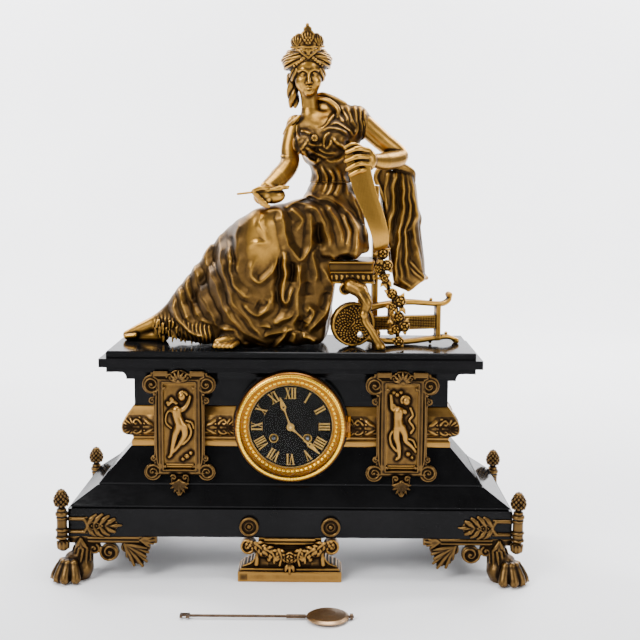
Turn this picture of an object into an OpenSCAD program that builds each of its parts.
// Figural mantel clock: a seated bronze muse on a stepped black marble case.
// X runs to the viewer's right, Y to the back and Z up. The origin lies on the surface
// that the clock stands on, under the middle of the case. Sizes are in millimetres.

/* [Base] */
// Height of the feet under the base block
foot_h = 48.5; // [40:0.5:60]
// Width of the base block
base_w = 491; // [470:1:520]
// Depth of the base block
base_d = 172; // [168:1:184]
// Height of the base block
base_h = 31.5; // [26:0.5:38]
// Height of the lower slope with its lip
lower_h = 22.5; // [19:0.5:27]
// How far the lower slope draws in at each end
lower_run = 27.5; // [22:0.5:32]
// How far the lower slope draws in at the front and the back
lower_run_y = 14; // [12:0.5:18]
// Height of the rim between the two slopes
rim_h = 2.5; // [1.5:0.5:4]
// Height of the upper slope
upper_h = 39.5; // [36:0.5:44]
// How far the upper slope draws in at each end
upper_run = 34; // [28:0.5:38]
// How far the upper slope draws in at the front and the back
upper_run_y = 10.5; // [8:0.5:12]

/* [Case] */
// Width of the upright part of the case
waist_w = 350; // [340:1:360]
// Depth of the upright part of the case
waist_d = 110; // [106:1:116]
// Height of the upright part of the case
waist_h = 76.5; // [72:0.5:82]
// Thickness of the case walls
wall = 12; // [9:0.5:14]
// Height of the hollow moulding under the cornice
cove_h = 9; // [7:0.5:11]
// Height of the cornice bed
bed_h = 6.5; // [5:0.5:9]
// How far the cornice bed stands out at each end
bed_out = 28.7; // [24:0.1:32]
// How far the cornice bed stands out at the front
bed_out_y = 13; // [11:0.5:15]
// Height of the cornice slab
slab_h = 9.5; // [7:0.5:12]
// How far the cornice slab stands out beyond its bed
slab_out = 7; // [4:0.5:9]
// Height of the top slab
top_h = 7.5; // [6:0.5:10]
// Radius of the round backing behind the bezel
boss_r = 63.5; // [63.3:0.1:65]

/* [Dial] */
// Height of the dial's centre
dial_z = 171; // [169:0.5:173]
// Outer radius of the bezel
bezel_r = 62; // [61.5:0.1:63]
// Width of the bezel's rim
rim_w = 4.4; // [4:0.1:5]
// Radius of the black dial
dial_r = 47.2; // [46:0.1:48]
// Thickness of the dial
dial_t = 1.2; // [0.8:0.1:1.6]
// Thickness of the bezel glass
glass_t = 1.6; // [1.2:0.1:2]
// Length of the minute hand
minute_len = 44; // [38:0.5:46]
// Length of the hour hand
hour_len = 35; // [28:0.5:36]
// Turn of the minute hand from twelve
minute_turn = 132.8; // [0:0.1:360]
// Turn of the hour hand from twelve
hour_turn = 340.4; // [0:0.1:360]
// Sideways distance of the winding holes from the centre
wind_x = 18.7; // [18.5:0.1:20]
// Drop of the winding holes below the centre
wind_drop = 13.5; // [13:0.1:15]

/* [Movement] */
// Radius of the movement's back plate
plate_r = 40; // [39.5:0.1:40.2]
// Thickness of the movement plates
plate_t = 2.5; // [2:0.1:3]
// Distance between the movement plates
plate_gap = 41.5; // [40:0.5:43]
// Radial running clearance of the pivots
pivot_fit = 0.05; // [0.02:0.01:0.08]
// Clearance between parts that move past each other
run_gap = 0.35; // [0.3:0.05:0.5]
// Radius of the spring barrels
barrel_r = 16.5; // [15:0.1:17]
// Radius of the bell
bell_r = 33; // [30:0.5:34]
// Radius of the opening in the back of the case
rear_r = 46; // [44.5:0.5:47]

/* [Bronze] */
// Half distance between the two plaques
plaque_x = 123; // [118:0.5:126]
// Width of a plaque's body
plaque_w = 56; // [52:0.5:60]
// Height of a plaque's body
plaque_h = 116; // [112:0.5:118]
// Thickness of a plaque
plaque_t = 5; // [4:0.5:7]
// How far the frieze swells out of the case
frieze_out = 13; // [10:0.5:13]
// Radius of the pine cone on a corner post
cone_r = 8.3; // [7:0.1:9]
// Radius of a corner post
post_r = 6.4; // [5:0.1:7]
// Width of the front foot's plinth
plinth_w = 115; // [105:1:125]

/* [Pendulum] */
// Length of the pendulum from its hook to its nut
pendulum_len = 171; // [160:1:180]
// Radius of the pendulum's disc
bob_r = 21.5; // [18:0.5:23]
// Radius of the pendulum's rod
rod_r = 1.4; // [1.1:0.1:1.8]

/* [Hidden] */
$fn = 64;
e = 0.01;

// Colours
marble = [0.06, 0.06, 0.065];
bronze = [0.42, 0.31, 0.15];
gilt = [0.85, 0.62, 0.2];
brass = [0.8, 0.65, 0.3];
steel = [0.55, 0.57, 0.6];
glass = [0.85, 0.92, 0.95, 0.3];
dark = [0.04, 0.04, 0.05];

// Levels, from the ground up
base_z = foot_h + base_h;
lower_z = base_z + lower_h;
rim_z = lower_z + rim_h;
waist_z = rim_z + upper_h;
cove_z = waist_z + waist_h;
bed_z = cove_z + cove_h;
slab_z = bed_z + bed_h;
topslab_z = slab_z + slab_h;
figure_z = topslab_z + top_h;

// Half sizes of the case, side and front
waist_hx = waist_w / 2;
waist_hy = waist_d / 2;
lip_in = 2.5;
lip_h = 1.5;
base_hx = base_w / 2;
base_hy = base_d / 2;
lower_hx = base_hx - lip_in - lower_run;
lower_hy = base_hy - lip_in - lower_run_y;
rim_in = 1.7;
upper_foot_in = 2.4;
upper_hx = lower_hx - upper_foot_in;
upper_hy = lower_hy - upper_foot_in + 0.4;
front_y = -waist_hy;
bed_hx = waist_hx + bed_out;
bed_hy = waist_hy + bed_out_y;
span = base_w;

// Planes that stand off the front of the case
backing_y = front_y - 13.5;
plaque_y = -bed_hy;
case_bore_r = 48;
chamber_hx = 58;
rear_ro = rear_r + 3.5;
slot_hx = 34;
slot_y0 = -8;
slot_y1 = 34;

// Movement planes, from the dial to the back
drum_l = 18.5;
drum_ro = 47.4;
drum_ri = 45.5;
flange_t = 1.5;
flange_ri = 40;
front_plate_y = backing_y + drum_l;
gap_y0 = front_plate_y + plate_t;
gap_y1 = gap_y0 + plate_gap;
back_face_y = gap_y1 + plate_t;
wind_z = dial_z - wind_drop;
pivot_r = 1;
third_at = [10.2, dial_z + 12.2];
escape_at = [0, dial_z + 21];
anchor_at = [0, dial_z + 35];
pin_at = [-24, dial_z + 7.3];
fly_at = [-15, dial_z + 15.9];
hammer_at = [-36, dial_z + 7];
motion_at = [-9.8, dial_z + 9.9];
pillar_angles = [30, 150, 255, 285];
pillar_ring = plate_r - 3.5;

// Wheels: outer radius, thickness and teeth
great_r = 18.1;
great_t = 2.5;
great_teeth = 80;
train_t = 1.4;
centre_r = 13.3;
third_r = 11;
escape_r = 8;
pin_r = 10;
cannon_r = 3.6;
motion_r = 10;
motion_pinion_r = 2.9;
hour_r = 10.6;
great_y = gap_y1 - 8;
centre_y = gap_y1 - 4;
third_y = gap_y0 + 3.5;
escape_y = gap_y0 + 22.5;
motion_y = front_plate_y - 4;
hour_wheel_y = front_plate_y - 7.5;

// Hands, measured forward from the backing's face
hour_hand_f = 4.4;
minute_hand_f = 6.2;
glass_f = 9;

// Bell and hammer
bell_y0 = back_face_y + 19.5;
bell_l = 18;
crutch_y = back_face_y + 8;
hammer_y = bell_y0 + 4;
door_y = waist_hy + 3;

function arc(cx, cy, r, a0, a1, n) =
    [for (i = [0:n]) [cx + r * cos(a0 + (a1 - a0) * i / n), cy + r * sin(a0 + (a1 - a0) * i / n)]];

// Outline of a block from [overhang, height] points
module profile_2d(half, pts) {
    last = len(pts) - 1;
    polygon(concat([for (p = pts) [half + p[0], p[1]]],
                   [for (i = [last:-1:0]) [-half - pts[i][0], pts[i][1]]]));
}

// Block whose ends and fronts follow two outlines, mitred at the corners
module moulded(half_x, half_y, side, front) {
    intersection() {
        rotate([90, 0, 0]) linear_extrude(2 * span, center = true) profile_2d(half_x, side);
        rotate([90, 0, 90]) linear_extrude(2 * span, center = true) profile_2d(half_y, front);
    }
}

module box(x0, x1, y0, y1, z0, z1) {
    translate([x0, y0, z0]) cube([x1 - x0, y1 - y0, z1 - z0]);
}

// Cylinder along Y from y0 to y1
module bar_y(r, y0, y1, x = 0, z = dial_z, sides = 64) {
    translate([x, y1, z]) rotate([90, 0, 0]) cylinder(r = r, h = y1 - y0, $fn = sides);
}

// Places a shape that is drawn facing the viewer: its z runs forward from the plane y
module facing(y, x = 0, z = dial_z) {
    translate([x, y, z]) rotate([90, 0, 0]) children();
}

// Flat shape drawn in X and Z, from y0 to y1
module plate_y(y0, y1) {
    translate([0, y1, 0]) rotate([90, 0, 0]) linear_extrude(y1 - y0) children();
}

// Chain of round limbs through [point, radius] pairs
module limb(pts, sides = 14) {
    for (i = [0:len(pts) - 2]) hull() {
        translate(pts[i][0]) sphere(r = pts[i][1], $fn = sides);
        translate(pts[i + 1][0]) sphere(r = pts[i + 1][1], $fn = sides);
    }
}

// Smooth mass round a list of [point, radius] pairs
module mass(pts, sides = 20) {
    hull() for (p = pts) translate(p[0]) sphere(r = p[1], $fn = sides);
}

// Toothed outline with pointed teeth
module gear_2d(r, teeth, depth = 0.9) {
    polygon([for (i = [0:2 * teeth - 1]) let (a = 180 * i / teeth, q = i % 2 == 0 ? r : r - depth)
             [q * sin(a), q * cos(a)]]);
}

// Wheel with a rim and crossings, drawn facing the viewer
module crossed_wheel(r, teeth, t, hub = 2.2, spokes = 4) {
    linear_extrude(t) {
        difference() {
            gear_2d(r, teeth);
            circle(r = r - 2.6);
        }
        circle(r = hub);
        for (i = [0:spokes / 2 - 1]) rotate(180 * i / (spokes / 2)) square([2 * r - 4.4, 1.3], center = true);
    }
}

// Clear way for the pendulum and the round openings of the case
module pendulum_way(z0, z1) {
    box(-slot_hx, slot_hx, slot_y0, slot_y1, z0, z1);
}

module case_openings(z0, z1) {
    bar_y(case_bore_r, -span / 2, waist_hy - wall);
    bar_y(rear_r, waist_hy - wall - e, span / 2);
    box(-chamber_hx, chamber_hx, front_y + wall, waist_hy - wall, z0, z1);
}

module base_block() {
    color(marble) difference() {
        box(-base_hx, base_hx, -base_hy, base_hy, foot_h, base_z);
        pendulum_way(foot_h - 1, base_z + 1);
    }
}

module lower_slope() {
    groove = 1.2;
    side = [[-groove, base_z], [-groove, base_z + lip_h], [0, base_z + lip_h],
            [0, base_z + 2 * lip_h], [-lower_run, lower_z]];
    front = [[-groove, base_z], [-groove, base_z + lip_h], [0, base_z + lip_h],
             [0, base_z + 2 * lip_h], [-lower_run_y, lower_z]];
    color(marble) difference() {
        moulded(base_hx - lip_in, base_hy - lip_in, side, front);
        pendulum_way(base_z - 1, lower_z + 1);
    }
}

module upper_slope() {
    rim = upper_foot_in - rim_in;
    side = [[rim, lower_z], [rim, rim_z], [0, rim_z], [-upper_run, waist_z]];
    front = [[rim, lower_z], [rim, rim_z], [0, rim_z], [-upper_run_y, waist_z]];
    color(marble) difference() {
        moulded(upper_hx, upper_hy, side, front);
        case_openings(rim_z + wall, waist_z + 1);
        pendulum_way(lower_z - 1, rim_z + wall + 1);
        bar_y(boss_r, -span / 2, front_y);
        bar_y(rear_ro + 0.5, waist_hy, span / 2);
    }
}

module case_body() {
    color(marble) difference() {
        box(-waist_hx, waist_hx, -waist_hy, waist_hy, waist_z, cove_z);
        case_openings(waist_z - 1, cove_z - wall);
    }
}

key_hx = 37.5;
key_z = cove_z + 4.5;
cove_out = 8;
cove_out_y = 5;
cove_side_out = 16.5;
cove_front_out = 7;

module dial_backing() {
    color(marble) difference() {
        union() {
            intersection() {
                bar_y(boss_r, backing_y, front_y);
                box(-boss_r, boss_r, backing_y, front_y, 0, cove_z - e);
            }
            box(-key_hx, key_hx, backing_y, front_y - cove_front_out - 0.3, dial_z + 34, key_z);
        }
        bar_y(case_bore_r, backing_y - 1, front_y + 1);
    }
}

module cornice_bed() {
    n = 6;
    side = concat([[cove_out, cove_z], [cove_out, cove_z + 0.8]],
                  arc(cove_side_out, cove_z + 0.8, cove_side_out - cove_out, 180, 90, n),
                  [[bed_out, bed_z], [bed_out, slab_z]]);
    ratio = (cove_front_out - cove_out_y) / (cove_side_out - cove_out);
    front = [for (i = [0:len(side) - 1]) side[i][0] <= cove_side_out
             ? [cove_out_y + (side[i][0] - cove_out) * ratio, side[i][1]]
             : [bed_out_y, side[i][1]]];
    color(marble) moulded(waist_hx, waist_hy, side, front);
}

module cornice_slab() {
    color(marble) box(-bed_hx - slab_out, bed_hx + slab_out, -bed_hy - slab_out, bed_hy + slab_out,
                      slab_z, topslab_z);
}

module top_slab() {
    soft = 1;
    side = [[0, topslab_z], [0, figure_z - soft], [-soft, figure_z]];
    color(marble) moulded(bed_hx, bed_hy, side, side);
}

// Frieze round the case, under the plaques
module frieze() {
    top = waist_z + 47;
    s = frieze_out / 13;
    side = [[-1, waist_z], [3 * s, waist_z], [3.6 * s, waist_z + 2], [3.6 * s, waist_z + 6.5],
            [2 * s, waist_z + 8.5], [2.4 * s, waist_z + 12], [8 * s, waist_z + 14],
            [12 * s, waist_z + 17.5], [frieze_out, waist_z + 22.5], [12.4 * s, waist_z + 28],
            [9 * s, waist_z + 34.5], [8 * s, waist_z + 36.5], [1.5 * s, top - 1.2], [-1, top]];
    color(bronze) difference() {
        moulded(waist_hx, waist_hy, side, side);
        box(-waist_hx, waist_hx, front_y, span, waist_z - 1, top + 1);
        box(-span, span, waist_hy, span, waist_z - 1, top + 1);
        bar_y(boss_r + 0.2, -span / 2, front_y + 1);
    }
}

// Round scroll of a plaque's corner
volute_r = 9.5;
module plaque_2d() {
    hw = plaque_w / 2;
    square([plaque_w, plaque_h - 20], center = true);
    for (s = [-1, 1]) {
        translate([s * 30, plaque_h / 2 - 16]) circle(r = volute_r + 1);
        translate([s * 30, -plaque_h / 2 + 1]) circle(r = volute_r);
        translate([s * (hw + 1.5), plaque_h / 2 - 34]) circle(r = 4);
        translate([s * (hw + 0.5), -plaque_h / 2 + 16.5]) circle(r = 3.5);
    }
    translate([0, plaque_h / 2 - 10.5]) square([62, 15], center = true);
    translate([0, -plaque_h / 2 + 2]) square([54, 8], center = true);
    translate([0, plaque_h / 2 - 11.5]) circle(r = 12, $fn = 24);
}

panel_w = 37;
plaque_rail = 9.5;
panel_h = plaque_h - 2 * plaque_rail;
plaque_z = slab_z - 3 - plaque_h / 2;
panel_z = plaque_z - 5;
tail_z = plaque_z - plaque_h / 2 - 0.5;

// Room behind a plaque for the slopes and the rim that it hangs in front of
plaque_fit = 0.3;
module slope_room() {
    rim_hy = upper_hy + upper_foot_in - rim_in + plaque_fit;
    rotate([90, 0, 90]) linear_extrude(2 * span, center = true)
        polygon([[0, base_z + 2 * lip_h], [-base_hy + lip_in - plaque_fit, base_z + 2 * lip_h],
                 [-lower_hy - plaque_fit, lower_z], [-rim_hy, lower_z], [-rim_hy, rim_z],
                 [-upper_hy - plaque_fit, rim_z], [-upper_hy + upper_run_y - plaque_fit, waist_z],
                 [0, waist_z]]);
}

module plaque(x) {
    lip = 1.6;
    bend_z = lower_z;
    tip_z = rim_z - 11.5;
    run = lower_run_y / (lower_h - 2 * lip_h);
    tip_y = -lower_hy - (bend_z - tip_z) * run - 0.4;
    color(bronze) translate([x, 0, 0]) difference() {
        union() {
            plate_y(plaque_y - plaque_t, plaque_y) translate([0, plaque_z]) plaque_2d();
            plate_y(plaque_y - plaque_t - lip, plaque_y - plaque_t + e) translate([0, panel_z])
                square([panel_w + 9, panel_h + 9], center = true);
            hull() {
                box(-10, 10, plaque_y - 4, plaque_y - 1, tail_z - 8, tail_z);
                box(-9, 9, -lower_hy - 4.5, -lower_hy - 0.4, rim_z - 0.5, rim_z + 1);
            }
            hull() {
                box(-9, 9, -lower_hy - 4.5, -lower_hy - 0.4, rim_z - 0.5, rim_z + 1);
                box(-1.5, 1.5, tip_y - 3, tip_y, tip_z, tip_z + 1);
            }
        }
        box(-panel_w / 2, panel_w / 2, plaque_y - 20, plaque_y + 1, panel_z - panel_h / 2,
            panel_z + panel_h / 2);
        slope_room();
    }
}

module plaque_left() { plaque(-plaque_x); }
module plaque_right() { plaque(plaque_x); }

// Relief panel with a standing child, drawn from a few round forms; lean turns the figure
module relief(x, lean) {
    fit = 0.2;
    f = plaque_y - 4;
    color(bronze) translate([x, 0, panel_z]) {
        difference() {
            box(-panel_w / 2 + fit, panel_w / 2 - fit, plaque_y - 3, plaque_y, -panel_h / 2 + fit,
                panel_h / 2 - fit);
            translate([0, 0, -panel_z]) slope_room();
        }
        intersection() {
            union() {
                translate([3 * lean, f, 31]) sphere(r = 6.5, $fn = 16);
                limb([[[2 * lean, f, 19], 6.5], [[0, f, 2], 7]], 10);
                limb([[[-2, f, -2], 5], [[-5, f, -18], 4], [[-3, f, -33], 2.6], [[-6, f, -35], 2.2]], 10);
                limb([[[3, f, -2], 5], [[5 + lean, f, -17], 4], [[1 + lean, f, -31], 2.6]], 10);
                limb([[[8 * lean, f, 22], 3], [[13 * lean, f, 30], 2.6], [[9 * lean, f, 39], 2.4]], 10);
                limb([[[-6 * lean, f, 20], 3], [[-12 * lean, f, 12], 2.5], [[-7 * lean, f, 5], 2.3]], 10);
            }
            box(-panel_w / 2 + 1, panel_w / 2 - 1, plaque_y - 9, plaque_y - 2, -panel_h / 2 + 1,
                panel_h / 2 - 1);
        }
    }
}

module relief_left() { relief(-plaque_x, 1); }
module relief_right() { relief(plaque_x, -1); }

// One corner of the base, drawn at the front left and mirrored to the others
module corner(sx, sy) {
    mirror([sx > 0 ? 1 : 0, 0, 0]) mirror([0, sy > 0 ? 1 : 0, 0]) children();
}

post_x = base_hx + post_r - 2;
post_y = base_hy + post_r + 0.2;

// Paw and scrolled bracket under a corner
module foot(sx, sy) {
    px = base_hx - 4;
    py = base_hy + 3;
    th = 8;
    color(bronze) corner(sx, sy) {
        intersection() {
            union() {
                for (a = [-76, -44, -14, 24]) translate([-px, -py, 0]) rotate(a)
                    hull() {
                        translate([0, 4, 15]) sphere(r = 12, $fn = 12);
                        translate([0, -16.5, 7.5]) sphere(r = 9, $fn = 12);
                    }
                limb([[[-px + 4, -py + 3, 15], 17], [[-px + 12, -py + 8, 30], 12],
                      [[-px + 12, -py + 14, foot_h - 2], 12]], 14);
            }
            box(-span, span, -span, span, 0, foot_h);
        }
        intersection() {
            union() {
                box(-base_hx - 1, -base_hx + 98, -base_hy, -base_hy + th, foot_h - 8, foot_h);
                translate([-post_x, -post_y, foot_h - 7]) sphere(r = 7.6, $fn = 12);
                hull() {
                    translate([-post_x, -post_y, foot_h - 5]) sphere(r = 5.5, $fn = 12);
                    box(-base_hx, -base_hx + th, -base_hy, -base_hy + th, foot_h - 8, foot_h);
                }
                bar_y(11, -base_hy, -base_hy + th, -base_hx + 45, foot_h - 18.5);
                bar_y(9, -base_hy + 1, -base_hy + th, -base_hx + 27, foot_h - 14);
                hull() {
                    bar_y(7, -base_hy + 1, -base_hy + th, -base_hx + 64, foot_h - 13);
                    bar_y(3, -base_hy + 1, -base_hy + th, -base_hx + 80, foot_h - 32);
                    bar_y(5, -base_hy + 1, -base_hy + th, -base_hx + 86, foot_h - 12);
                }
            }
            box(-span, span, -span, span, 0, foot_h);
        }
        intersection() {
            union() {
                box(-base_hx, -base_hx + th, -base_hy + 6, -base_hy + 62, foot_h - 8, foot_h);
                translate([-base_hx + th, -base_hy + 42, foot_h - 17]) rotate([0, -90, 0])
                    cylinder(r = 10, h = th);
            }
            box(-span, span, -span, span, 0, foot_h);
        }
    }
}

module foot_front_left() { foot(-1, -1); }
module foot_front_right() { foot(1, -1); }
module foot_back_left() { foot(-1, 1); }
module foot_back_right() { foot(1, 1); }

// Corner post with its pine cone, and the strap that ties it to the base block
module post(sx, sy) {
    tip = foot_h + 57;
    strap_t = 4;
    zs = foot_h + 13;
    r = post_r;
    c = cone_r;
    turned = [[0, foot_h], [r + 0.6, foot_h], [r + 1.2, foot_h + 2], [r, foot_h + 4], [r, foot_h + 8],
              [r + 1, foot_h + 10], [r, foot_h + 12], [r - 1, foot_h + 24], [r + 0.8, foot_h + 27],
              [r + 0.8, foot_h + 30], [r - 1.6, foot_h + 33], [3.2, foot_h + 35], [c - 2.4, foot_h + 38],
              [c, foot_h + 43], [c - 0.8, foot_h + 48], [c - 4, foot_h + 54], [0, tip]];
    color(bronze) corner(sx, sy) {
        difference() {
            translate([-post_x, -post_y, 0]) rotate_extrude($fn = 40) polygon(turned);
            box(-base_hx, 0, -base_hy, 0, 0, span);
        }
        difference() {
            plate_y(-base_hy - strap_t, -base_hy) difference() {
                union() {
                    translate([-post_x, zs - 9]) square([34, 18]);
                    translate([-base_hx + 40, zs]) scale([1.5, 1]) circle(r = 13.5, $fn = 24);
                }
                translate([-base_hx + 3, zs - 5]) square([14, 10]);
            }
            translate([-post_x, -post_y, 0]) cylinder(r = post_r, h = 200);
        }
    }
}

module post_front_left() { post(-1, -1); }
module post_front_right() { post(1, -1); }
module post_back_left() { post(-1, 1); }
module post_back_right() { post(1, 1); }

// Middle foot at the front: a plinth with a fruit garland
plinth_y0 = -base_hy - 8;
plinth_y1 = plinth_y0 + 36;
module front_foot() {
    hw = plinth_w / 2;
    y0 = plinth_y0;
    waist = 30;
    color(bronze) {
        box(-hw, hw, y0, plinth_y1, 0, 12);
        box(-hw + 2.5, hw - 2.5, y0 + 2, plinth_y1 - 2, 12, 15);
        difference() {
            plate_y(y0 + 5, plinth_y1 - 4) polygon(concat(
                arc(-hw - 4, foot_h - 5, 30, -72, -8, 8), [[-waist, foot_h], [waist, foot_h]],
                arc(hw + 4, foot_h - 5, 30, 188, 252, 8)));
            box(-span, span, -span, span, 0, 15 - e);
        }
        for (s = [-1, 1]) {
            bar_y(9, y0 + 3, y0 + 18, s * 46, foot_h - 9.5);
            limb([[[s * 44, y0 + 6, foot_h - 13], 7], [[s * 33, y0 + 6, foot_h - 18], 8],
                  [[s * 18, y0 + 5, foot_h - 20], 9], [[0, y0 + 5, foot_h - 20], 10.5]]);
        }
        limb([[[0, y0 + 2, foot_h - 30], 5], [[0, y0 + 2, 14], 3]]);
    }
}

// Two dished discs on the front of the base block
module roundels() {
    x = 45;
    z = foot_h + 13.5;
    color(bronze) for (s = [-1, 1]) facing(-base_hy, s * x, z) rotate_extrude($fn = 48)
        polygon([[0, 0], [7, 0], [10.6, 3], [10.6, 5.5], [9.4, 6.4], [8.2, 5.4], [4, 2.6], [3, 5], [0, 6]]);
}

// Gilt ring round the dial, with the drum that holds the movement and the hinge lugs
hinge_x = bezel_r + 2.4;
hinge_f = 0.6;
swing_gap = 0.8;
pin_hole = 1;
knuckle_r = 2.2;
knuckle_h = 12;
lug_h = 5.5;
module dial_surround() {
    rim_ri = bezel_r - rim_w;
    ro = rim_ri - swing_gap;
    color(gilt) facing(backing_y) difference() {
        union() {
            rotate_extrude($fn = 96) polygon([[flange_ri, 0], [drum_ri, 0], [drum_ri, -drum_l],
                [drum_ro, -drum_l], [drum_ro, 0], [ro, 0], [ro, 4.6], [ro - 1.6, 4.6],
                [dial_r + 1.4, 3.2], [dial_r + 0.2, 2.9], [dial_r + 0.2, flange_t],
                [flange_ri, flange_t]]);
            for (s = [-1, 1]) hinge_lug(s);
        }
        translate([0, 50, -1]) cylinder(r = 2.2, h = 8, $fn = 32);
    }
    color(gilt) facing(backing_y) translate([hinge_x, -knuckle_h / 2 - lug_h, knuckle_r + hinge_f])
        rotate([-90, 0, 0]) cylinder(r = pin_hole, h = knuckle_h + 2 * lug_h, $fn = 32);
}

module hinge_lug(s) {
    y0 = s > 0 ? knuckle_h / 2 + run_gap : -knuckle_h / 2 - run_gap - lug_h;
    translate([hinge_x, y0, knuckle_r + hinge_f]) rotate([-90, 0, 0])
        cylinder(r = knuckle_r, h = lug_h, $fn = 32);
    translate([bezel_r - rim_w - 4, y0, 0]) cube([rim_w + 6.6, lug_h, 1.3]);
}

module dial() {
    color(dark) facing(backing_y - flange_t) difference() {
        cylinder(r = dial_r, h = dial_t, $fn = 96);
        translate([0, 0, -1]) cylinder(r = 3.5, h = dial_t + 2);
        for (s = [-1, 1]) translate([s * wind_x, -wind_drop, -1]) cylinder(r = 3.7, h = dial_t + 2);
    }
}

module bezel() {
    ro = bezel_r;
    ri = ro - rim_w;
    lip = ri - 1.4;
    g1 = glass_f + glass_t;
    notch = lug_h + 2 * run_gap;
    color(gilt) facing(backing_y) difference() {
        union() {
            rotate_extrude($fn = 96) polygon(concat([[ri, run_gap], [ro, run_gap], [ro, glass_f - 2]],
                arc(ro - 4, glass_f - 2, 4, 15, 75, 4), [[lip, g1 + 0.9], [lip, g1], [ri, g1]]));
            translate([hinge_x, -knuckle_h / 2, knuckle_r + hinge_f]) rotate([-90, 0, 0])
                cylinder(r = knuckle_r, h = knuckle_h, $fn = 32);
            translate([ri + 1, -knuckle_h / 2, 2.2]) cube([rim_w + 1.2, knuckle_h, 2.4]);
        }
        translate([hinge_x, -knuckle_h, knuckle_r + hinge_f]) rotate([-90, 0, 0])
            cylinder(r = pin_hole + pivot_fit, h = 2 * knuckle_h, $fn = 32);
        for (s = [-1, 1]) translate([ri - 5, s * (knuckle_h + notch) / 2 - notch / 2, 0])
            cube([rim_w + 9, notch, knuckle_r * 2 + hinge_f + 0.6]);
    }
}

module bezel_glass() {
    color(glass) facing(backing_y - glass_f)
        cylinder(r = bezel_r - rim_w - 0.2, h = glass_t, $fn = 96);
}

// Pierced leaf-shaped hand pointing up
module hand_2d(len, w) {
    circle(r = 4.2);
    translate([-0.6, 0]) square([1.2, len * 0.6]);
    difference() {
        polygon([[0, len * 0.5], [-w, len * 0.66], [-0.45, len], [0.45, len], [w, len * 0.66]]);
        translate([0, len * 0.66]) circle(r = w * 0.42, $fn = 24);
    }
    polygon([[-1.4, 4], [0, len * 0.3], [1.4, 4]]);
}

pipe_ri = 1.95;
pipe_ro = 3;
module hour_hand() {
    color(gilt) facing(backing_y - hour_hand_f)
        rotate(-hour_turn) linear_extrude(0.8) difference() {
            hand_2d(hour_len, 3.1);
            circle(r = pipe_ro, $fn = 48);
        }
}

module minute_hand() {
    color(gilt) facing(backing_y - minute_hand_f) {
        difference() {
            union() {
                rotate(-minute_turn) linear_extrude(0.8) hand_2d(minute_len, 2.8);
                cylinder(r = 3, h = 1.5, $fn = 32);
            }
            translate([0, 0, -1]) cylinder(r = 1.2, h = 4, $fn = 32);
        }
    }
}

module pivot_hole(at) {
    bar_y(pivot_r + pivot_fit, -span / 2, span / 2, at[0], at[1], 32);
}

module plate_holes() {
    for (at = [[0, dial_z], third_at, escape_at, anchor_at, pin_at, fly_at, hammer_at])
        pivot_hole(at);
    for (s = [-1, 1]) bar_y(2 + pivot_fit, -span / 2, span / 2, s * wind_x, wind_z, 32);
}

strap_r0 = plate_r + 0.6;
strap_r1 = strap_r0 + 1.8;
module front_plate() {
    notch = 4.4;
    color(brass) difference() {
        bar_y(drum_ro, front_plate_y, gap_y0);
        plate_holes();
        bar_y(2 + pivot_fit, -span / 2, 0, 0, dial_z, 32);
        for (s = [-1, 1]) box(s > 0 ? strap_r0 - 0.2 : -span, s > 0 ? span : -strap_r0 + 0.2,
                              front_plate_y - 1, gap_y0 + 1, dial_z - notch, dial_z + notch);
    }
    color(steel) bar_y(1.2, front_plate_y - 6.4, front_plate_y, motion_at[0], motion_at[1], 32);
}

module back_plate() {
    color(brass) {
        difference() {
            bar_y(plate_r, gap_y1, back_face_y);
            plate_holes();
        }
        for (a = pillar_angles)
            bar_y(2.5, gap_y0, gap_y1, pillar_ring * cos(a), dial_z + pillar_ring * sin(a), 32);
    }
}

// Spring barrel with its great wheel; the winding arbor turns in its bore
module barrel(x) {
    color(brass) difference() {
        union() {
            bar_y(barrel_r, gap_y0 + 7, great_y, x, wind_z);
            facing(great_y + great_t, x, wind_z) linear_extrude(great_t) gear_2d(great_r, great_teeth);
        }
        bar_y(2.6 + pivot_fit, gap_y0, gap_y1, x, wind_z, 32);
    }
}

module going_barrel() { barrel(wind_x); }
module strike_barrel() { barrel(-wind_x); }

// Winding arbor with a square for the key
module winding_arbor(x) {
    color(steel) {
        bar_y(2, gap_y0, back_face_y, x, wind_z, 32);
        bar_y(2.6, gap_y0 + 3, gap_y1 - 1, x, wind_z, 32);
        bar_y(2, front_plate_y - 6, gap_y0, x, wind_z, 32);
        box(x - 1.4, x + 1.4, backing_y - 3.6, front_plate_y - 5, wind_z - 1.4, wind_z + 1.4);
    }
}

module going_arbor() { winding_arbor(wind_x); }
module strike_arbor() { winding_arbor(-wind_x); }

// Arbor with pivots in both plates
module arbor(at, y0 = front_plate_y, y1 = back_face_y) {
    bar_y(pivot_r, y0, y1, at[0], at[1], 32);
    bar_y(1.5, gap_y0 + 0.4, gap_y1 - 0.4, at[0], at[1], 32);
}

module wheel_at(at, y, r, teeth, t = train_t) {
    facing(y + t, at[0], at[1]) crossed_wheel(r, teeth, t);
}

module pinion_at(at, y0, y1, r, leaves) {
    facing(y1, at[0], at[1]) linear_extrude(y1 - y0) gear_2d(r, leaves, 0.6);
}

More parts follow.
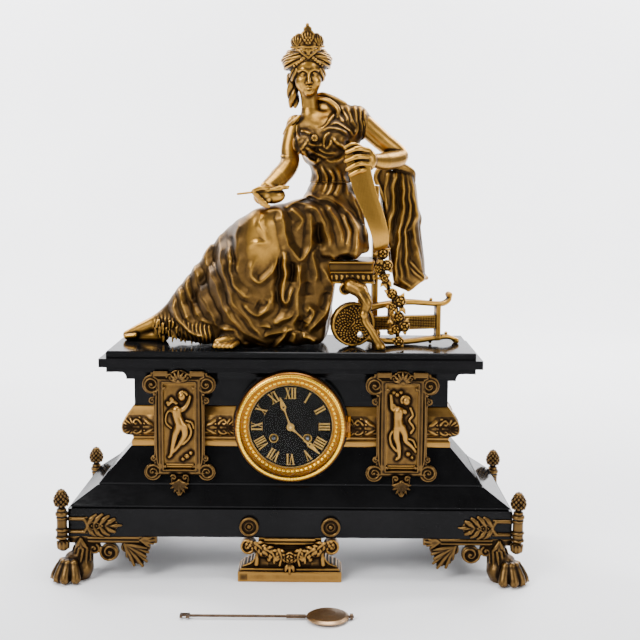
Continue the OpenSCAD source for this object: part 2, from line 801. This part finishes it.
function gap_to(a, b, r) = norm([a[0] - b[0], a[1] - b[1]]) - r - run_gap;
centre_at = [0, dial_z];
module centre_wheel() {
    r = gap_to(centre_at, [wind_x, wind_z], great_r);
    color(brass) {
        wheel_at(centre_at, centre_y, centre_r, 72);
        pinion_at(centre_at, great_y - 0.5, centre_y + e, r, 16);
        bar_y(1.5, gap_y0 + 0.4, gap_y1 - 0.4, 0, dial_z, 32);
        bar_y(pivot_r, gap_y1 - 1, back_face_y, 0, dial_z, 32);
        bar_y(2, front_plate_y - 1, gap_y0 + 0.4, 0, dial_z, 32);
        bar_y(1.9, backing_y - minute_hand_f + 0.2, front_plate_y - 1, 0, dial_z, 32);
        bar_y(1.2, backing_y - minute_hand_f - 2.2, backing_y - minute_hand_f + 0.3, 0, dial_z, 32);
        pinion_at(centre_at, motion_y, motion_y + 2.4, cannon_r, 15);
    }
}

module third_wheel() {
    r = gap_to(third_at, centre_at, centre_r);
    color(brass) {
        arbor(third_at);
        wheel_at(third_at, third_y, third_r, 72);
        pinion_at(third_at, centre_y - 1, centre_y + train_t + 1, r, 8);
    }
}

module escape_wheel() {
    r = gap_to(escape_at, third_at, third_r);
    color(brass) {
        arbor(escape_at);
        wheel_at(escape_at, escape_y, escape_r, 42);
        pinion_at(escape_at, third_y - 1, third_y + train_t + 1, r, 8);
    }
}

// Wheel and pipe that carry the hour hand
module hour_wheel() {
    color(brass) difference() {
        union() {
            wheel_at(centre_at, hour_wheel_y, hour_r, 40);
            bar_y(pipe_ro, backing_y - hour_hand_f - 0.8, hour_wheel_y + train_t, 0, dial_z, 32);
        }
        bar_y(pipe_ri, backing_y - 20, 0, 0, dial_z, 32);
    }
}

module minute_wheel() {
    color(brass) difference() {
        union() {
            wheel_at(motion_at, motion_y + 0.4, motion_r, 45);
            pinion_at(motion_at, hour_wheel_y - 0.4, motion_y + 0.5, motion_pinion_r, 10);
            bar_y(2.2, motion_y + 0.4, front_plate_y - 0.4, motion_at[0], motion_at[1], 32);
        }
        bar_y(1.2 + pivot_fit, -span / 2, span / 2, motion_at[0], motion_at[1], 32);
    }
}

// Pallets, arbor and crutch
module anchor() {
    x = anchor_at[0];
    z = anchor_at[1];
    reach = 8.6;
    color(steel) {
        arbor(anchor_at, front_plate_y, crutch_y + 1.5);
        plate_y(escape_y - 0.3, escape_y + train_t + 0.3) translate([x, z]) polygon([[0, 3.2],
            [-reach, -3.6], [-reach + 0.8, -9.2], [-reach + 1.8, -6.4], [-3.5, -1.6], [3.5, -1.6],
            [reach - 1.8, -6.4], [reach - 0.8, -9.2], [reach, -3.6]]);
        plate_y(crutch_y, crutch_y + 1.2) translate([x - 1, z - 54]) square([2, 54]);
        plate_y(crutch_y, crutch_y + 1.2) translate([x, z]) circle(r = 2.6, $fn = 24);
        box(x - 1, x + 1, crutch_y, crutch_y + 8, z - 54, z - 52.6);
    }
}

// Bracket on the back plate with the suspension spring
module suspension_cock() {
    z = anchor_at[1];
    color(brass) {
        box(-9, 9, back_face_y, back_face_y + 3, z + 3.4, z + 5.4);
        box(-9, -5.4, back_face_y, back_face_y + 3, z - 5, z + 5.4);
        box(5.4, 9, back_face_y, back_face_y + 3, z - 5, z + 5.4);
        box(-3, 3, back_face_y, crutch_y + 6.6, z + 3.4, z + 7);
    }
    color(steel) {
        box(-1.8, 1.8, crutch_y + 4.2, crutch_y + 4.4, z - 14, z + 3.4);
        box(-2.6, 2.6, crutch_y + 3, crutch_y + 5.6, z - 18, z - 14);
    }
}

module pin_wheel() {
    r = gap_to(pin_at, [-wind_x, wind_z], great_r);
    color(brass) {
        arbor(pin_at);
        wheel_at(pin_at, centre_y, pin_r, 60);
        pinion_at(pin_at, great_y - 0.5, centre_y + e, r, 12);
        for (i = [0:7]) bar_y(0.5, centre_y + train_t - e, centre_y + train_t + 1.8,
                              pin_at[0] + 7.9 * cos(45 * i), pin_at[1] + 7.9 * sin(45 * i), 16);
    }
}

module fly() {
    r = gap_to(fly_at, pin_at, pin_r);
    color(brass) {
        arbor(fly_at);
        pinion_at(fly_at, centre_y - 1, centre_y + train_t + 1, r, 8);
        box(fly_at[0] - 6.5, fly_at[0] + 6.5, gap_y0 + 8, gap_y0 + 18, fly_at[1] - 0.4, fly_at[1] + 0.4);
    }
}

module hammer() {
    x = hammer_at[0];
    z = hammer_at[1];
    head_r = 3.6;
    reach = bell_r + head_r + 1.5;
    hx = -reach * cos(23);
    hz = dial_z - reach * sin(23);
    color(steel) {
        arbor(hammer_at, front_plate_y, hammer_y + 2);
        plate_y(hammer_y, hammer_y + 1.6) polygon([[x - 1.2, z + 2], [x + 1.2, z + 2], [hx + 1, hz],
                                                   [hx - 1.4, hz]]);
        translate([hx, hammer_y + 0.8, hz]) rotate([0, 90, 23]) cylinder(r = head_r, h = 5, center = true);
    }
}

module bell() {
    t = 1.6;
    color(brass) facing(bell_y0 + bell_l) difference() {
        rotate_extrude($fn = 72) polygon([[2.05, 0], [12, 0.4], [22, 2.6], [29, 7], [bell_r - 1, 13],
            [bell_r, bell_l], [bell_r - t, bell_l], [bell_r - 1 - t, 13.4], [28, 8.2], [21.3, 4.2],
            [12, 2.1], [2.05, 1.7]]);
    }
}

// Post on the back plate that carries the bell
module bell_stand() {
    a = -43;
    ring = plate_r - 4;
    x = ring * cos(a);
    z = dial_z + ring * sin(a);
    y = bell_y0 + bell_l;
    color(steel) {
        bar_y(2, back_face_y, y + 2, x, z, 32);
        bar_y(4, back_face_y, back_face_y + 1.5, x, z, 32);
        facing(y + 2.4) rotate(a) translate([-4, -2.5]) cube([ring + 6, 5, 2.1]);
        bar_y(2, y - 3, y + 4, 0, dial_z, 32);
        bar_y(3.6, y - 4.2, y - 1.9, 0, dial_z, 32);
    }
}

// Brass ring round the opening at the back, with the hinge of its door
door_hinge_x = rear_ro + knuckle_r + run_gap;
screw_x = strap_r0 - 3;
module rear_ring() {
    ro = rear_ro;
    ri = rear_r - 1.5;
    color(brass) difference() {
        union() {
            bar_y(ro, waist_hy, door_y);
            for (s = [-1, 1]) {
                z = dial_z + s * (knuckle_h / 2 + run_gap + lug_h / 2);
                box(ro - 6, door_hinge_x, waist_hy, door_y, z - lug_h / 2, z + lug_h / 2);
                translate([door_hinge_x, door_y, z - lug_h / 2])
                    cylinder(r = knuckle_r, h = lug_h, $fn = 32);
            }
            translate([door_hinge_x, door_y, dial_z - knuckle_h / 2 - lug_h])
                cylinder(r = pin_hole, h = knuckle_h + 2 * lug_h, $fn = 32);
        }
        difference() {
            bar_y(ri, waist_hy - 1, door_y + 1);
            for (s = [-1, 1]) mirror([s > 0 ? 0 : 1, 0, 0])
                box(screw_x - 4.5, rear_ro, 0, span, dial_z - 5, dial_z + 5);
        }
        for (s = [-1, 1]) bar_y(1.5 + pivot_fit, 0, span, s * screw_x, dial_z, 32);
    }
}

module rear_door() {
    ro = rear_ro - 1;
    t = 1.6;
    y0 = door_y + run_gap;
    y1 = y0 + 3.4;
    color(brass) difference() {
        union() {
            bar_y(ro, y0, y1 + t);
            translate([door_hinge_x, door_y, dial_z - knuckle_h / 2])
                cylinder(r = knuckle_r, h = knuckle_h, $fn = 32);
            box(ro - 2, door_hinge_x, y0, y0 + 1.6, dial_z - knuckle_h / 2, dial_z + knuckle_h / 2);
        }
        bar_y(ro - 2.2, y0 - 1, y1);
        for (a = [0:30:330]) facing(y1 + t + 1) rotate(a) translate([12, -1.8]) cube([22, 3.6, 4]);
        translate([door_hinge_x, door_y, 0])
            cylinder(r = pin_hole + pivot_fit, h = 400, $fn = 32);
    }
}

// Two long straps and screws that draw the movement and the rear ring together
module clamp_straps() {
    foot_y = waist_hy - 0.3;
    color(steel) for (s = [-1, 1]) mirror([s > 0 ? 0 : 1, 0, 0]) {
        box(strap_r0, strap_r1, backing_y + 3, foot_y, dial_z - 4, dial_z + 4);
        box(strap_r0, drum_ri - 0.25, backing_y + 3, backing_y + 5, dial_z - 4, dial_z + 4);
        box(screw_x - 4, strap_r1, foot_y - 2, foot_y, dial_z - 4, dial_z + 4);
        bar_y(1.5, foot_y - 1, door_y + 0.5, screw_x, dial_z, 32);
        bar_y(3, door_y, door_y + 1.8, screw_x, dial_z, 32);
    }
}

// Figure group. Joints between the castings are flat planes.
waist_seam = figure_z + 185;
neck_seam = figure_z + 270;
seat_z = figure_z + 98;
seat_t = 26;
seat_x0 = 14;
seat_x1 = 92;
seat_y0 = -30;
seat_y1 = 42;
fz = figure_z;

// Long ridge of cloth through points, round in section
module fold(pts, r = 4, sides = 8) {
    limb([for (p = pts) [p, r]], sides);
}

module skirt_mass() {
    knee = [[-32, -49, fz + 138], 22.5];
    far_knee = [[-63, -12, fz + 122], 18];
    mass([[[40, 6, fz + 160], 30], [[42, 6, fz + 122], 34], [[70, 0, fz + 118], 20]]);
    mass([[[38, -8, fz + 142], 28], knee]);
    mass([[[30, 10, fz + 140], 27], far_knee, knee]);
    mass([knee, [[-72, -42, fz + 18], 12], [[-30, -34, fz + 12], 12]]);
    mass([far_knee, [[-128, 4, fz + 44], 18], [[-90, 22, fz + 14], 14], [[-60, 30, fz + 60], 18]]);
    mass([[[-128, 4, fz + 44], 18], [[-152, 8, fz + 18], 12], [[-96, -30, fz + 12], 12],
          [[-80, 22, fz + 12], 12]]);
    mass([[[30, -14, fz + 128], 24], knee, [[-72, -38, fz + 12], 12], [[28, -26, fz + 12], 12],
          [[30, 22, fz + 12], 12], [[-76, 24, fz + 12], 12]]);
    mass([far_knee, knee, [[-72, -38, fz + 12], 12], [[-110, -12, fz + 24], 14], [[-82, 14, fz + 16], 14]]);
    mass([[[40, -18, fz + 150], 16], [[74, -22, fz + 128], 12], [[82, -34, fz + 112], 8],
          [[36, -38, fz + 108], 8]]);
}

module skirt_folds() {
    fold([[-60, -38, fz + 128], [-92, -34, fz + 74], [-126, -14, fz + 30]], 4.5);
    fold([[-72, -26, fz + 126], [-106, -20, fz + 76], [-142, -2, fz + 36]], 4);
    fold([[-54, -54, fz + 112], [-78, -47, fz + 60], [-88, -42, fz + 18]], 4.5);
    fold([[-48, -58, fz + 92], [-38, -58, fz + 70], [-20, -48, fz + 84], [-12, -46, fz + 108]], 4);
    fold([[-60, -52, fz + 80], [-44, -50, fz + 40], [-12, -42, fz + 48], [4, -38, fz + 88]], 4.5);
    fold([[-70, -46, fz + 50], [-40, -44, fz + 18], [4, -38, fz + 24], [22, -36, fz + 70]], 4.5);
    fold([[-6, -42, fz + 150], [4, -44, fz + 100], [16, -38, fz + 50], [26, -34, fz + 12]], 5);
    fold([[10, -36, fz + 158], [24, -40, fz + 122], [18, -40, fz + 100]], 4.5);
    fold([[30, -32, fz + 162], [50, -36, fz + 136], [52, -40, fz + 112]], 4.5);
    fold([[46, -26, fz + 164], [70, -30, fz + 134], [76, -38, fz + 108]], 4.5);
    fold([[-90, -42, fz + 8], [-60, -46, fz + 6], [-28, -42, fz + 10], [4, -44, fz + 5], [30, -34, fz + 8]], 5.5);
    fold([[-150, 2, fz + 8], [-128, -10, fz + 6], [-104, -26, fz + 8]], 6);
}

module skirt_feet() {
    limb([[[-140, 8, fz + 34], 11], [[-158, 9, fz + 22], 9.5], [[-178, 12, fz + 13], 7.5],
          [[-194, 14, fz + 6], 5.5]]);
    limb([[[-152, 8, fz + 9], 8], [[-192, 15, fz + 5], 5]]);
    limb([[[-66, -42, fz + 16], 11], [[-76, -52, fz + 8], 7.5], [[-84, -56, fz + 6], 6]]);
}

module figure_skirt() {
    color(bronze) difference() {
        union() {
            skirt_mass();
            skirt_folds();
            skirt_feet();
        }
        box(-span, span, -span, span, -span, fz);
        box(-span, span, -span, span, waist_seam, waist_seam + span);
        stool_space(0.1);
    }
}

module torso_core() {
    mass([[[42, 2, waist_seam - 10], 26], [[42, -2, fz + 202], 20]]);
    mass([[[42, -2, fz + 202], 20], [[38, -2, fz + 232], 27], [[12, -4, fz + 240], 16],
          [[66, 3, fz + 246], 17]]);
    mass([[[38, -2, fz + 238], 24], [[10, -4, fz + 248], 12], [[68, 4, fz + 252], 13]]);
    mass([[[14, -21, fz + 227], 14], [[22, -8, fz + 236], 16]]);
    mass([[[49, -19, fz + 232], 14], [[50, -6, fz + 240], 16]]);
    limb([[[22, 2, fz + 256], 13], [[17, 0, fz + 272], 10.5]], 18);
    mass([[[30, 0, fz + 252], 14], [[50, 4, fz + 256], 9], [[10, 0, fz + 252], 9]]);
}

module arms() {
    limb([[[3, -4, fz + 246], 12.5], [[-3, -8, fz + 218], 9], [[-4, -12, fz + 200], 9.5],
          [[-18, -32, fz + 188], 8], [[-30, -46, fz + 177], 6]], 16);
    mass([[[-30, -46, fz + 176], 6], [[-40, -54, fz + 169], 5], [[-20, -56, fz + 167], 5.2]], 14);
    limb([[[74, 4, fz + 250], 14], [[96, 6, fz + 234], 11.5], [[121, 8, fz + 214], 10.5],
          [[96, -22, fz + 209], 9], [[82, -36, fz + 209], 6.5]], 16);
    mass([[[82, -36, fz + 209], 6.5], [[68, -42, fz + 208], 7], [[66, -42, fz + 200], 6]], 14);
    limb([[[-57, -60, fz + 171.5], 1.4], [[-24, -51, fz + 174], 1.4]], 8);
}

module figure_torso() {
    color(bronze) {
        difference() {
            torso_core();
            box(-span, span, -span, span, -span, waist_seam);
            box(-span, span, -span, span, neck_seam, neck_seam + span);
        }
        difference() {
            arms();
            skirt_mass();
        }
    }
}

// Head with dressed hair, tail of hair and a leafed tiara
module figure_head() {
    h = fz + 306;
    color(bronze) difference() {
        union() {
            limb([[[18, 1, neck_seam - 6], 11], [[15, -4, fz + 286], 10.5]], 18);
            mass([[[15, -8, h], 17.5], [[15, -14, h - 17], 9.5], [[15, -10, h + 8], 18]], 20);
            mass([[[15, 4, h + 8], 22], [[15, 10, h - 2], 18]], 20);
            limb([[[-9, -2, h + 10], 6], [[-2, -16, h + 22], 6], [[15, -20, h + 27], 6],
                  [[32, -14, h + 22], 6], [[38, 0, h + 9], 6.5]], 14);
            mass([[[15, 22, h + 4], 13], [[15, 28, h - 2], 9]], 16);
            limb([[[-3, 12, h - 8], 7], [[-3, 8, h - 26], 6], [[3, 6, h - 34], 4]], 12);
            for (i = [-2:2]) hull() {
                translate([15 + 7.5 * i, -9 + 1.2 * i * i, h + 26]) sphere(r = 4.5, $fn = 12);
                translate([15 + 8.5 * i, -6 + 1.2 * i * i, h + 48 - 2.2 * i * i]) sphere(r = 4.8, $fn = 12);
            }
            translate([14, -6, h + 51]) sphere(r = 3.2, $fn = 12);
        }
        box(-span, span, -span, span, -span, neck_seam);
    }
}

// Sheet of paper that hangs from the left hand
module scroll() {
    w = 22;
    t = 1.6;
    way = [[66, -50.2, fz + 205], [71, -52.5, fz + 190], [79, -54.5, fz + 166], [89, -55, fz + 142],
           [96, -51, fz + 126], [98, -46, fz + 119]];
    color(bronze) for (i = [0:len(way) - 2]) hull() {
        translate(way[i]) rotate([0, -18, 0]) cube([w, t, 1], center = true);
        translate(way[i + 1]) rotate([0, -18, 0]) cube([w, t, 1], center = true);
    }
}

leg_way = [[[66, -34, seat_z - seat_t - 4], 9], [[84, -42, seat_z - seat_t - 18], 7],
           [[80, -43, seat_z - seat_t - 36], 5], [[89, -45, fz + 22], 4.5], [[99, -47, fz + 5], 6]];

leg_mid = (seat_y0 + seat_y1) / 2;
module stool_space(gap) {
    box(seat_x0 - gap, seat_x1 + gap, seat_y0 - gap, seat_y1 + gap, seat_z - seat_t - gap, seat_z + gap);
}

// Stool with hoofed legs and a rest that carries the mantle
module stool() {
    rest_x = seat_x1;
    color(bronze) difference() {
        union() {
            box(seat_x0, seat_x1, seat_y0, seat_y1, seat_z - seat_t, seat_z);
            box(rest_x - 1, rest_x + 7, 2, 36, seat_z - seat_t, seat_z + 84);
            limb(leg_way, 12);
            limb([for (p = leg_way) [[p[0][0], 2 * leg_mid - p[0][1], p[0][2]], p[1]]], 12);
        }
        box(-span, span, -span, span, -span, fz);
    }
}

// Cloth over the rest at the right
module mantle() {
    x0 = seat_x1 + 7;
    t = figure_z + 203;
    b = figure_z + 56;
    color(bronze) difference() {
        union() {
            mass([[[100, 14, t - 6], 6], [[134, 20, t - 8], 6], [[100, 38, t - 6], 6],
                  [[134, 40, t - 8], 6], [[128, 8, b + 8], 6], [[150, 18, b + 22], 6],
                  [[150, 38, b + 20], 6], [[116, 34, b + 24], 6]], 16);
            for (i = [0:4]) fold([[101 + 8 * i, 10 + 1.6 * i, t - 6], [109 + 8 * i, 6 + 2 * i, t - 70],
                                  [116 + 8.4 * i, 4 + 3 * i, b + 10 + 4 * i]], 4.5);
            for (i = [0:3]) fold([[102 + 9 * i, 40, t - 8], [110 + 9 * i, 42, t - 70],
                                  [120 + 8.6 * i, 42, b + 26]], 4.5);
        }
        box(seat_x1 - 20, x0, 2, 36, 0, seat_z + 84);
    }
}

// Lyre on its edge behind the front leg of the stool
module lyre() {
    turn = 13;
    t = 12;
    r = 25.5;
    color(bronze) translate([70, -27, figure_z + r]) rotate([0, 0, turn]) intersection() {
        plate_y(0, t) {
            difference() {
                union() {
                    circle(r = r);
                    translate([14, -8]) square([84, 17]);
                    translate([42, -14]) square([6, 34]);
                }
                translate([8, -12]) circle(r = 3.6, $fn = 24);
            }
            translate([98, -22]) square([6.5, 42]);
            polygon([[20, 14], [64, 21], [106, 17], [114, 22], [118, 33], [112, 35], [108, 26], [64, 28],
                     [16, 21]]);
            polygon([[20, -14], [64, -19], [110, -15], [124, -19], [128, -24], [125, -25.4], [118, -22.5],
                     [64, -24.5], [16, -20]]);
        }
        box(-span, span, -span, span, -r, span);
    }
}

// Roses and leaves that hang beside the stool
module garland() {
    roses = [[[101, -36, fz + 107], 7.5], [[106, -38, fz + 94], 7], [[97, -37, fz + 90], 6],
             [[103, -39, fz + 80], 6], [[112, -37, fz + 62], 7], [[121, -38, fz + 54], 7.5],
             [[113, -38, fz + 48], 6], [[120, -39, fz + 36], 7], [[126, -40, fz + 26], 7.5],
             [[117, -40, fz + 22], 7], [[120, -42, fz + 9], 6.5]];
    color(bronze) difference() {
        union() {
            for (r = roses) hull() {
                translate(r[0]) sphere(r = r[1], $fn = 12);
                translate(r[0] + [0, 3, 0]) sphere(r = r[1] * 0.8, $fn = 12);
            }
            limb([[[99, -35, fz + 104], 3.5], [[94, -31.5, seat_z - 6], 4], [[102, -36, fz + 86], 3], [[108, -34, fz + 68], 2.6],
                  [[116, -35, fz + 50], 2.6], [[119, -36, fz + 30], 2.6], [[119, -38, fz + 8], 2.6]], 8);
        }
        box(-span, span, -span, span, -span, fz);
        stool();
        lyre();
    }
}

// Pendulum lying on the surface in front, as it is shown unhooked
lie_y = -196;
hook_x = -108;
bob_x = hook_x + 150;
bob_t = 7;
rod_z = bob_t / 2;
module rod_x(r, x0, x1) {
    translate([x0, lie_y, rod_z]) rotate([0, 90, 0]) cylinder(r = r, h = x1 - x0, $fn = 24);
}

module pendulum_rod() {
    color(steel) {
        rod_x(rod_r, hook_x + 9, bob_x + bob_r + 5);
        rod_x(rod_r + 0.7, bob_x - 42, bob_x - bob_r - 1);
        difference() {
            box(hook_x, hook_x + 10, lie_y - 3.4, lie_y + 3.4, rod_z - 1.5, rod_z + 1.5);
            box(hook_x + 2.6, hook_x + 6.4, lie_y - 5, lie_y + 1.2, 0, bob_t + 1);
        }
        rod_x(3.2, bob_x + bob_r + 1, bob_x + bob_r + 4);
    }
}

module pendulum_bob() {
    color(brass) difference() {
        translate([bob_x, lie_y, 0]) rotate_extrude($fn = 72) polygon([[0, 0], [8, 0], [bob_r - 3, 1.4],
            [bob_r, rod_z - 0.6], [bob_r, rod_z + 0.6], [bob_r - 3, bob_t - 1.4], [8, bob_t], [0, bob_t]]);
        rod_x(rod_r + pivot_fit, bob_x - 2 * bob_r, bob_x + 2 * bob_r);
    }
}

base_block();
lower_slope();
upper_slope();
case_body();
dial_backing();
cornice_bed();
cornice_slab();
top_slab();
frieze();
plaque_left();
plaque_right();
relief_left();
relief_right();
foot_front_left();
foot_front_right();
foot_back_left();
foot_back_right();
post_front_left();
post_front_right();
post_back_left();
post_back_right();
front_foot();
roundels();
dial_surround();
dial();
bezel();
bezel_glass();
hour_hand();
minute_hand();
front_plate();
back_plate();
going_barrel();
strike_barrel();
going_arbor();
strike_arbor();
centre_wheel();
third_wheel();
escape_wheel();
hour_wheel();
minute_wheel();
anchor();
suspension_cock();
pin_wheel();
fly();
hammer();
bell();
bell_stand();
rear_ring();
rear_door();
clamp_straps();
figure_skirt();
figure_torso();
figure_head();
scroll();
stool();
mantle();
lyre();
garland();
pendulum_rod();
pendulum_bob();
